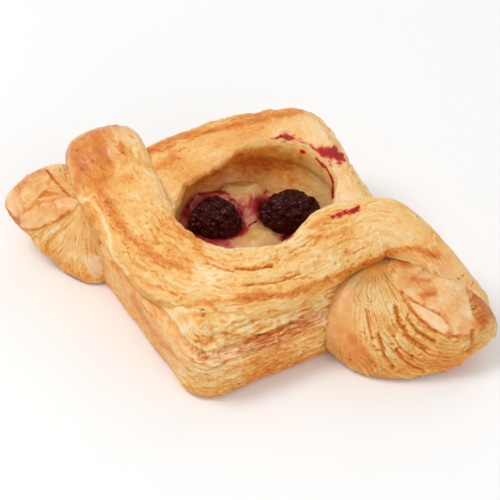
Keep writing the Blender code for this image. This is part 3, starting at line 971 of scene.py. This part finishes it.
def base_outline(corner_steps, side_steps):
    """Points inside the base's outline by its corners' radius, and the direction outward at each."""
    corners = ring(BASE_CENTRE, BASE_TURN + turn(4), BASE_REACH - BASE_CORNER, 0)
    share = np.linspace(0, 1, side_steps + 1)[1:-1, None]
    anchors, angles = [], []
    for quarter, (corner, following) in enumerate(zip(corners, np.roll(corners, -1, 0))):
        bends = BASE_TURN + (quarter + np.linspace(-0.5, 0.5, corner_steps)) * math.pi / 2
        anchors += [np.tile(corner, (corner_steps, 1)), corner + (following - corner) * share]
        angles += [bends, np.full(len(share), bends[-1])]
    return np.concatenate(anchors), ring((0, 0), np.concatenate(angles), 1, 0)


def base_piece(lip, material):
    anchors, outward = base_outline(corner_steps=32, side_steps=100)
    side_rows = spline(BASE_SIDE[::-1], BASE_ROWS)
    outside = anchors + outward * (BASE_CORNER - side_rows[:, 1])[:, None, None]
    outside[..., 2] = side_rows[:, :1]
    angle = from_well(anchors + outward * BASE_CORNER)[2]
    inner = []
    for height in np.linspace(WELL_WALL[0][0], 19.0, 8):
        reach = wall_reach(angle, height + 0 * angle, lip)[0] + 0.8
        inner.append(ring(WELL_CENTRE, angle, reach, height - 0.3))
    points = np.concatenate([inner, outside])
    girth = outside[BASE_GIRTH_ROW]
    s = travelled(girth) + 0 * points[..., 0]
    height = points[..., 2]
    is_outside = (np.arange(len(points)) >= len(inner))[:, None]
    normals, seen, facing = in_view(points)
    smooth_side = rise(points[..., 0], 1, -5) * rise(points[..., 1], 4, -2)
    calm = rise(length(np.roll(points, -1, 1) - np.roll(points, 1, 1)), 0.05, 0.3)
    amount = is_outside * (1 - 0.75 * smooth_side) * calm
    layered, parted = layers(s, height * 1.6, 500, 2.6)
    tier = rise(height, 14.8, 15.6) * is_outside
    lumps = uneven(points, 7.0, 3, 520)
    crags = calm * uneven(points * np.array([1, 1, 0.6]), 2.6, 2, 525)
    holes = pores(points, 1.0, 530, 0.8) * amount * (1 - tier)
    foot = rise(height, 0.0, 1.2)
    lift = 0.8 * lumps + amount * 1.2 * layered - 0.4 * amount * parted - 0.5 * holes + 1.2 * tier * crags
    points = points + normals * (lift * is_outside * foot)[..., None]
    points = carve(points, lip)[0]
    points[..., 2] = np.maximum(points[..., 2], 0)
    edge = 12.6 + 2.2 * (noise(s / 5, 0, 540) - 0.5) + 1.2 * (noise(s / 1.3, 0, 541) - 0.5)
    glaze = rise(height, edge - 0.25, edge + 0.25) * rise(height, 15.6, 14.9)
    glaze *= is_outside * (1 - 0.5 * smooth_side) * calm
    film = glaze * rise(cloud(points * np.array([1, 1, 2]), 3.0, 2, 560), 0.48, 0.58)
    line = rise(np.abs(height - edge), 0.7, 0.2) * rise(noise(s / 7, 0, 561), 0.4, 0.6) * is_outside
    # The brown marks include painted shade along the front strip's lower edge and low on the right side
    brown = strokes(seen, BASE_BROWN_AND_SHADE) * facing
    # Painted light and shade: paler on the raised layers and crags, deeper in parted layers and pores
    tone = 0.42 + 0.5 * uneven(points, 10.0, 3, 550) - 0.25 * amount * layered - 0.15 * tier * crags
    tone += 0.08 * amount * parted + 0.1 * holes + 0.12 * glaze + brown
    tone = tone - 0.08 * tier - 0.1 * smooth_side
    tone = tone_with_painted_shade(points, tone - 0.22 * film + 0.2 * line + 0.18 * rise(height, 7, 0))
    glaze = np.maximum(glaze, 0.3 * smooth_side * is_outside)
    masks = {"tone": tone, "glaze": glaze, "stain": 0, "flaky": amount}
    return grid_piece("base", points, masks, material, (s, height))


# Loose flakes

def flakes_piece(piece, material, count):
    """Thin ragged flakes that stand off the layers, one edge of each under the surface."""
    random = np.random.default_rng(880)
    corners = 9
    vertices, faces, tones = [], [], []
    total = len(piece.data.vertices)
    places, normals, flaky = np.zeros((total, 3)), np.zeros((total, 3)), np.zeros(total)
    piece.data.vertices.foreach_get("co", places.reshape(-1))
    piece.data.vertices.foreach_get("normal", normals.reshape(-1))
    piece.data.attributes["flaky"].data.foreach_get("value", flaky)
    places /= MM
    flaky *= (places[:, 2] > 1.5) * (normals[:, 2] > -0.4)
    for k in random.choice(total, count, p=flaky / flaky.sum()):
        normal = normals[k]
        level = unit(np.cross((0, 0, 1), normal) + random.normal(0, 0.3, 3))
        over = unit(np.cross(normal, level))
        tilt = random.uniform(0.1, 0.5)
        standing = over * math.cos(tilt) + normal * math.sin(tilt)
        long, wide = random.uniform(0.4, 1.5), random.uniform(0.2, 0.6)
        angle = turn(corners)
        reach = random.uniform(0.7, 1.2, corners)
        u, v = np.cos(angle) * reach * long, (np.sin(angle) * reach + 0.75) * wide
        sheet = places[k] - normal * 0.12 + level * u[:, None] + standing * v[:, None]
        sheet = np.vstack([sheet, sheet.mean(0) + normal * 0.1])
        first, under = len(vertices), len(vertices) + corners + 1
        vertices += (sheet + normal * 0.07).tolist() + (sheet - normal * 0.07).tolist()
        for i in range(corners):
            j = (i + 1) % corners
            faces += [(first + corners, first + i, first + j), (under + corners, under + j, under + i)]
            faces.append((first + i, under + i, under + j, first + j))
        tones += [random.uniform(0.15, 0.45)] * (2 * corners + 2)
    mesh = bpy.data.meshes.new("loose_flakes")
    mesh.from_pydata((np.array(vertices) * MM).tolist(), [], faces)
    paint(mesh, "tone", tones)
    mesh.uv_layers.new(name="grain")
    return dress(mesh, material)


# Filling

# Lumps of the custard, whose strength is a height in millimetres
CUSTARD_BUMPS = (
    (8.0, 2.4, (230, 192), (241, 187), (251, 190)),
    (8.0, 1.0, (243, 212), (251, 216)),
    (10.0, 0.8, (254, 238), (268, 238)),
)
CUSTARD_CLEAN = (
    (8.0, 1.0, (228, 190), (241, 185), (252, 188)),
    (5.0, 0.5, (240, 214), (252, 220)),
    (8.0, 1.0, (250, 240), (261, 231), (272, 239)),
)
CUSTARD_JUICE = (
    (1.2, 0.8, (256, 221), (249, 226)),
    (18.0, 0.85, (206, 262), (232, 267), (262, 269), (296, 260), (314, 244)),
    (6.0, 0.5, (250, 206), (255, 200), (262, 205)),
    (4.0, 1.2, (284, 238), (298, 226)),
    (3.5, 0.75, (184, 214), (189, 203), (199, 195), (214, 191), (226, 194), (236, 204), (242, 216)),
    (3.0, 0.6, (256, 200), (268, 191), (286, 188)),
)


def custard_piece(material):
    """The custard, heaped round the berries and stained by their juice."""
    rings, sides = 84, 216
    angle = turn(sides)
    side = WELL_WALL[:4]
    gap = 0.3
    reach = around(WELL_REACH, angle)
    edge = reach * np.interp(CUSTARD_LEVEL, *zip(*WELL_WALL)) - gap
    rows = [(reach * share - gap, height + gap) for height, share in side]
    rows += [(edge * (1 - k / rings), CUSTARD_LEVEL) for k in range(rings)]
    points = np.array([ring(WELL_CENTRE, angle, *row) for row in rows])
    x, y, z = (points[..., k] for k in range(3))
    top = np.arange(len(rows))[:, None] >= len(side)
    inward = 1 - from_well(points)[1] / edge
    from_wall = rise(inward, 0.0, 0.06)
    lump = sum(
        height * np.exp(-((x - at_x) ** 2 + (y - at_y) ** 2) / width**2)
        for at_x, at_y, height, width in CUSTARD_LUMPS
    )
    folds = uneven(points, 5.0, 3, 620)
    z += top * (np.minimum(lump + strokes(on_photo(points), CUSTARD_BUMPS, 0.0), 2.7) + folds)
    bleed = 0.9 * uneven(points, 3.0, 3, 640)
    stain = np.zeros(x.shape)
    for (at_x, at_y, _), (half_x, half_y, _), turned in BRAMBLES.values():
        dx, dy = x - at_x, y - at_y
        along = dx * math.cos(turned) + dy * math.sin(turned)
        across = dy * math.cos(turned) - dx * math.sin(turned)
        ratio = np.sqrt((along / half_x) ** 2 + (across / half_y) ** 2)
        behind = rise((0.6 * dy - 0.8 * dx) / half_x, 0.2, 1.0)
        heap = 0.5 + 4.0 * behind * rise(x, 4, -2) * cloud(points, 2.5, 3, 630)
        bank = 2.4 * rise(dy / half_y, 0.4, 1.2) * rise(ratio, 2.3, 1.6) * rise(x, 0, -4)
        z += top * from_wall * (rise(ratio, 1.7, 1.1) * heap + bank)
        bled = 0.62 * rise(ratio + bleed, 1.9, 1.05)
        stain = np.maximum(stain, bled * (0.6 + 0.8 * cloud(points, 1.3, 3, 645)))
    clean = np.minimum(strokes(on_photo(points), CUSTARD_CLEAN), 0.9)
    stain = np.minimum(stain, 0.6) * (1 - clean) * rise(inward, 0.0, 0.05)
    stain = np.maximum(stain, blots(points, CUSTARD_JUICE))
    masks = {"tone": 0.4 + 0.8 * uneven(points, 6.0, 2, 650), "stain": stain}
    return grid_piece("custard_fill", points, masks, material, nodes=("custard",), slot="custard")


def bramble_piece(name, centre, half_sizes, turned, material, seed):
    """A berry of small drupelets, set in a spiral round a slightly squashed ball."""
    bm = bmesh.new()
    bmesh.ops.create_icosphere(bm, subdivisions=6, radius=1.0)
    directions = np.array([vert.co for vert in bm.verts])
    count = 130
    random = np.random.default_rng(seed)
    k = np.arange(count)
    level = 1 - (2 * k + 1) / count
    angle = k * GOLDEN_ANGLE + turned
    tops = ring((0, 0), angle, np.sqrt(1 - level**2), level)
    tops = unit(tops + random.normal(0, 0.1, tops.shape))
    sizes = random.uniform(0.13, 0.26, count)
    heights = random.uniform(0.6, 1.2, count)
    near = length(directions[:, None] - tops) / sizes
    bump = (np.sqrt(np.clip(1 - near**2, 0, 1)) * heights).max(1)
    crumple = uneven(directions * 7, 2.4, 3, seed)
    swell = 0.84 + 0.14 * bump + 0.14 * crumple
    local = directions * np.array(half_sizes) * swell[:, None]
    corner = 3 * (np.arctan2(local[:, 1], local[:, 0]) + turned - BERRY_CORNER)
    local[:, :2] *= 1 + 0.06 * np.cos(corner)[:, None]
    x = local[:, 0] * math.cos(turned) - local[:, 1] * math.sin(turned)
    y = local[:, 0] * math.sin(turned) + local[:, 1] * math.cos(turned)
    places = (np.stack([x, y, local[:, 2]], 1) + np.array(centre) + SHIFT) * MM
    for vert, place in zip(bm.verts, places):
        vert.co = place
    mesh = bpy.data.meshes.new(name + "_drupelets")
    bm.to_mesh(mesh)
    bm.free()
    # Crease is 1 between the drupelets, where the material paints shade
    paint(mesh, "crease", 1 - np.clip(bump, 0, 1))
    mesh.shade_smooth()
    return dress(mesh, material, (name,), "berry")


# Surroundings

def add_floor():
    bm = bmesh.new()
    bmesh.ops.create_grid(bm, x_segments=2, y_segments=2, size=1.5)
    mesh = bpy.data.meshes.new("floor")
    bm.to_mesh(mesh)
    bm.free()
    n = Nodes("pale_floor")
    grey = n.scaled(n.noise(60.0, 2.0), 0.03, 0.93)
    mesh.materials.append(n.shade({"Base Color": grey, "Roughness": 0.7}))
    floor = put("floor", mesh)
    floor.location = (0, 0, -0.0002)


def add_light(name, place, size, power, tint=(1, 1, 1)):
    data = bpy.data.lights.new(name, "AREA")
    data.shape = "DISK"
    data.size = size
    data.energy = power
    data.color = tint
    light = put(name, data)
    light.location = place
    light.rotation_euler = (Vector((0, 0, 0.015)) - light.location).to_track_quat("-Z", "Y").to_euler()


def add_camera():
    data = bpy.data.cameras.new("camera")
    camera = put("camera", data)
    camera.location = Vector((VIEW_TARGET + SHIFT + VIEW_BACK * VIEW_DISTANCE) * MM)
    camera.rotation_euler = (-Vector(VIEW_BACK)).to_track_quat("-Z", "Y").to_euler()
    data.sensor_width = 36
    data.lens = data.sensor_width * VIEW_DISTANCE / (VIEW_PIXEL * VIEW_WIDTH)
    data.shift_x = (VIEW_WIDTH / 2 - VIEW_MIDDLE[0]) / VIEW_WIDTH
    data.shift_y = (VIEW_MIDDLE[1] - VIEW_WIDTH / 2) / VIEW_WIDTH
    data.clip_start = 0.02
    bpy.context.scene.camera = camera


def add_studio():
    add_floor()
    add_light("key", (-0.4, -0.15, 0.7), 0.35, 2.75, (1.0, 0.99, 0.97))
    add_light("fill", (0.6, -0.6, 0.5), 0.8, 2.2)
    add_light("rim", (0.1, 0.8, 0.6), 0.6, 1.2)
    world = bpy.data.worlds.new("studio")
    world.use_nodes = True
    background = world.node_tree.nodes["Background"]
    background.inputs["Color"].default_value = (1, 1, 1, 1)
    background.inputs["Strength"].default_value = 0.56
    bpy.context.scene.world = world
    bpy.context.scene.view_settings.view_transform = "Standard"


def main():
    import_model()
    dough = dough_material()
    front, back = front_strip(), back_strip()
    lip = lip_heights((front[0], back[0]))
    strip_piece("front_strip", front, lip, dough)
    strip_piece("back_strip", back, lip, dough)
    left = knot_grid(LEFT_PINCH, LEFT_REACH, LEFT_LIFT, LEFT_NOTCHES, sides=420, levels=150, under=16)
    knot_piece("left_knot", left, dough, **LEFT_LOOKS)
    right = knot_grid(RIGHT_PINCH, RIGHT_REACH, RIGHT_LIFT, RIGHT_NOTCHES, sides=500, levels=174, under=18)
    knot_piece("right_knot", right, dough, **RIGHT_LOOKS)
    well_lining(lip, dough)
    flakes_piece(base_piece(lip, dough), dough, count=170)
    custard_piece(custard_material())
    berry = berry_material()
    for seed, (name, (centre, half_sizes, turned)) in enumerate(BRAMBLES.items()):
        bramble_piece(name, centre, half_sizes, turned, berry, 700 + seed)
    add_studio()
    add_camera()


main()
